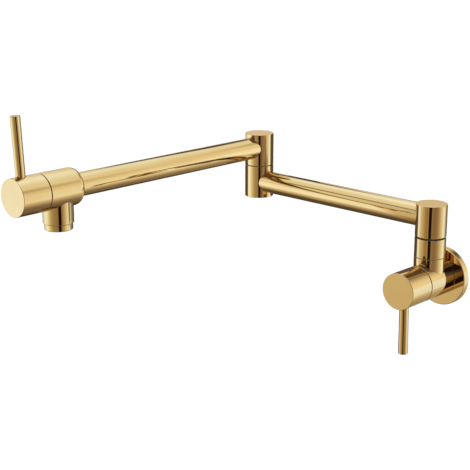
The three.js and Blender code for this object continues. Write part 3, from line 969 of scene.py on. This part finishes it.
def buildElbow(setup):
    hub = turned([
        (setup["socket"], setup["low"], eased),
        (setup["radius"], setup["low"], setup["edge"]),
        (setup["radius"], setup["high"], setup["seamEdge"]),
        (setup["washerRecess"], setup["high"], crisp),
        (setup["washerRecess"], setup["washerFloor"], 0),
        (setup["bearing"], setup["washerFloor"], 0),
        (setup["bearing"], setup["chamberTop"], 0),
        (setup["socket"], setup["chamberTop"], 0),
    ], roundSteps, closed=True)
    arm = (0, 0, layout["innerHeight"])
    tubeFrom = hubSetup["tubeFrom"]
    holeFrom = tubeFrom - hubSetup["tubeGap"]
    tubeHole = rod(hubSetup["tubeHole"], holeFrom, setup["radius"] + past, tubeHoleSteps)
    bm = joined(
        hub,
        ("DIFFERENCE", laid(tubeHole, rightwards, by=arm)),
        ("DIFFERENCE", laid(rod(setup["channel"], setup["channelFrom"], tubeFrom), rightwards, by=arm)),
    )
    placePiece(bm, "elbowLowerHub", elbowPlace, "inner_arm", "polished_gold", "elbow_lower_hub")
    slot = bmesh.new()
    bmesh.ops.create_cube(slot, size=1)
    slotSize = (3 * setup["plugRadius"], setup["slotWidth"], 2 * setup["slotDepth"])
    bmesh.ops.scale(slot, verts=slot.verts, vec=slotSize)
    bmesh.ops.translate(slot, verts=slot.verts, vec=(0, 0, setup["plugLow"]))
    plug = joined(turned([
        (0, setup["plugLow"], 0), (setup["plugRadius"], setup["plugLow"], blunt),
        (setup["plugRadius"], setup["plugHigh"], crisp), (0, setup["plugHigh"], 0),
    ], smallSteps), ("DIFFERENCE", slot))
    placePiece(plug, "elbowPlug", elbowPlace, "inner_arm", "polished_gold", "elbow_bottom_plug")


buildElbow(elbowSetup)
print("elbow ready")


# spout: barrel, rounded at the rear, and the outlet neck

spoutSetup = {
    "radius": 18.9,
    "end": 265,  # lengths from the elbow's axis
    "shoulderLength": 5,
    "shoulderDrop": 2.9,
    "shoulderSteps": 12,
    "seam": 305.2,
    "edge": 0.2,
    "neckRadius": 15.4,
    "neckDrop": 33.1,
    "neckEdge": 0.6,
    "neckBore": 7.8,
    "threadHole": 12.8,
    "threadFrom": 24.5,
    "pocket": 12.6,
    "seatBore": 6.5,
    "tubeHole": 12.05,
    "tubeSocket": 269.5,  # floor of the tube's hole
}


def buildSpout(setup):
    nozzle = (0, 0, layout["nozzle"])
    shoulder = [(0, setup["end"], 0)]
    for i in range(setup["shoulderSteps"] + 1):
        angle = i * pi / 2 / setup["shoulderSteps"]
        radius = setup["radius"] - setup["shoulderDrop"] * (1 - sin(angle))
        shoulder.append((radius, setup["end"] + setup["shoulderLength"] * (1 - cos(angle)), 0))
    front = [(setup["radius"], setup["seam"], setup["edge"]), (0, setup["seam"], 0)]
    barrel = turned(shoulder + front, roundSteps)
    neck = laid(turned([
        (0, 0, 0), (setup["neckRadius"], 0, 0), (setup["neckRadius"], setup["neckDrop"], setup["neckEdge"]),
        (0, setup["neckDrop"], 0),
    ], roundSteps), downwards, by=nozzle)
    mouth = setup["neckDrop"] + past
    outlet = laid(rod(setup["neckBore"], 0, mouth), downwards, by=nozzle)
    socket = laid(rod(setup["threadHole"], setup["threadFrom"], mouth), downwards, by=nozzle)
    bm = joined(
        barrel, ("UNION", neck),
        ("DIFFERENCE", rod(setup["pocket"], layout["spoutSeat"], setup["seam"] + past)),
        ("DIFFERENCE", rod(setup["seatBore"], setup["tubeSocket"] - past, layout["spoutSeat"] + past)),
        ("DIFFERENCE", rod(setup["tubeHole"], setup["end"] - past, setup["tubeSocket"], tubeHoleSteps)),
        ("DIFFERENCE", outlet), ("DIFFERENCE", socket),
    )
    placePiece(bm, "spoutValveBody", spoutPlace, "outer_arm", "polished_gold", "spout_valve_body")


buildSpout(spoutSetup)
print("spout body ready")


# aerator under the neck

aeratorSetup = {
    "radius": 14.2,
    "low": 65.9,  # heights above the inlet's axis
    "shoulder": 72.4,
    "edge": 0.9,
    "thread": 12.5,
    "threadTop": 79.4,
    "mouth": 9.2,
    "ledge": 71,
    "screenHole": 10.6,
    "screenRadius": 10.3,
    "screenLow": 71.3,
    "screenHigh": 74.3,
    "holeRadius": 0.85,
    "holePitch": 3.1,
    "holeRings": 3,  # the hole in the middle counts as one
    "holeSides": 24,
    "drillLength": 10,
}


def buildAerator(setup):
    housing = turned([
        (setup["mouth"], setup["low"], setup["edge"]),
        (setup["radius"], setup["low"], setup["edge"]),
        (setup["radius"], setup["shoulder"], eased),
        (setup["thread"], setup["shoulder"], 0),
        (setup["thread"], setup["threadTop"], eased),
        (setup["screenHole"], setup["threadTop"], fine),
        (setup["screenHole"], setup["ledge"], 0),
        (setup["mouth"], setup["ledge"], fine),
    ], roundSteps, closed=True)
    placePiece(housing, "aeratorHousing", nozzlePlace, "outer_arm", "polished_gold", "aerator_housing")
    drills = bmesh.new()
    middle = (setup["screenLow"] + setup["screenHigh"]) / 2
    for ring in range(setup["holeRings"]):
        count = max(1, 6 * ring)
        reach = ring * setup["holePitch"]
        for i in range(count):
            angle = 2 * pi * i / count
            bmesh.ops.create_cone(
                drills, cap_ends=True, segments=setup["holeSides"],
                radius1=setup["holeRadius"], radius2=setup["holeRadius"], depth=setup["drillLength"],
                matrix=Matrix.Translation((reach * cos(angle), reach * sin(angle), middle)),
            )
    screen = joined(turned([
        (0, setup["screenLow"], 0), (setup["screenRadius"], setup["screenLow"], eased),
        (setup["screenRadius"], setup["screenHigh"], eased), (0, setup["screenHigh"], 0),
    ], boreSteps), ("DIFFERENCE", drills))
    placePiece(screen, "aeratorScreen", nozzlePlace, "outer_arm", "stainless_steel", "aerator_screen")


buildAerator(aeratorSetup)
print("aerator ready")


# handle caps and levers, the lever towards +Y

handleSetup = {
    "radius": 18.9,
    "low": 28.5,  # lengths from the cartridge's seat
    "high": 61,
    "edge": 0.5,
    "seamEdge": 0.9,
    "hollow": 14.7,
    "hollowTop": 42,
    "stemHole": 4.3,
    "stemTop": 53,
    "leverHeight": 49.6,
    "threadHole": 3.4,
    "threadFrom": 2,
    "sink": 5.05,
    "sinkFloor": 17.3,
}
leverSetup = {
    "thread": 3.1,
    "foot": 9.2,  # lengths from the cap's axis
    "shoulder": 17.6,
    "root": 4.75,
    "tip": 5,
    "edge": 0.7,
    "wallReach": 68.4,
    "spoutReach": 76.9,
}


def buildHandle(setup, lever, side, place):  # side is wall or spout
    reach = lever[side + "Reach"]
    body = side + "_handle"
    lift = (0, 0, setup["leverHeight"])
    threadHole = rod(setup["threadHole"], setup["threadFrom"], setup["radius"])
    sink = rod(setup["sink"], setup["sinkFloor"], setup["radius"] + past)
    cap = joined(
        turned([
            (0, setup["low"], 0), (setup["radius"], setup["low"], setup["seamEdge"]),
            (setup["radius"], setup["high"], setup["edge"]), (0, setup["high"], 0),
        ], roundSteps),
        ("DIFFERENCE", rod(setup["hollow"], setup["low"] - past, setup["hollowTop"])),
        ("DIFFERENCE", rod(setup["stemHole"], setup["hollowTop"] - past, setup["stemTop"])),
        ("DIFFERENCE", laid(threadHole, upwards, by=lift)),
        ("DIFFERENCE", laid(sink, upwards, by=lift)),
    )
    placePiece(cap, side + "HandleCap", place, body, "polished_gold", side + "_handle_cap")
    shaft = laid(turned([
        (0, lever["foot"], 0),
        (lever["thread"], lever["foot"], eased),
        (lever["thread"], lever["shoulder"], 0),
        (lever["root"], lever["shoulder"], fine),
        (lever["tip"], reach, lever["edge"]),
        (0, reach, 0),
    ], smallSteps), upwards, by=lift)
    placePiece(shaft, side + "Lever", place, body, "polished_gold", side + "_lever")


buildHandle(handleSetup, leverSetup, "wall", wallHandlePlace)
buildHandle(handleSetup, leverSetup, "spout", spoutHandlePlace)
print("handles ready")
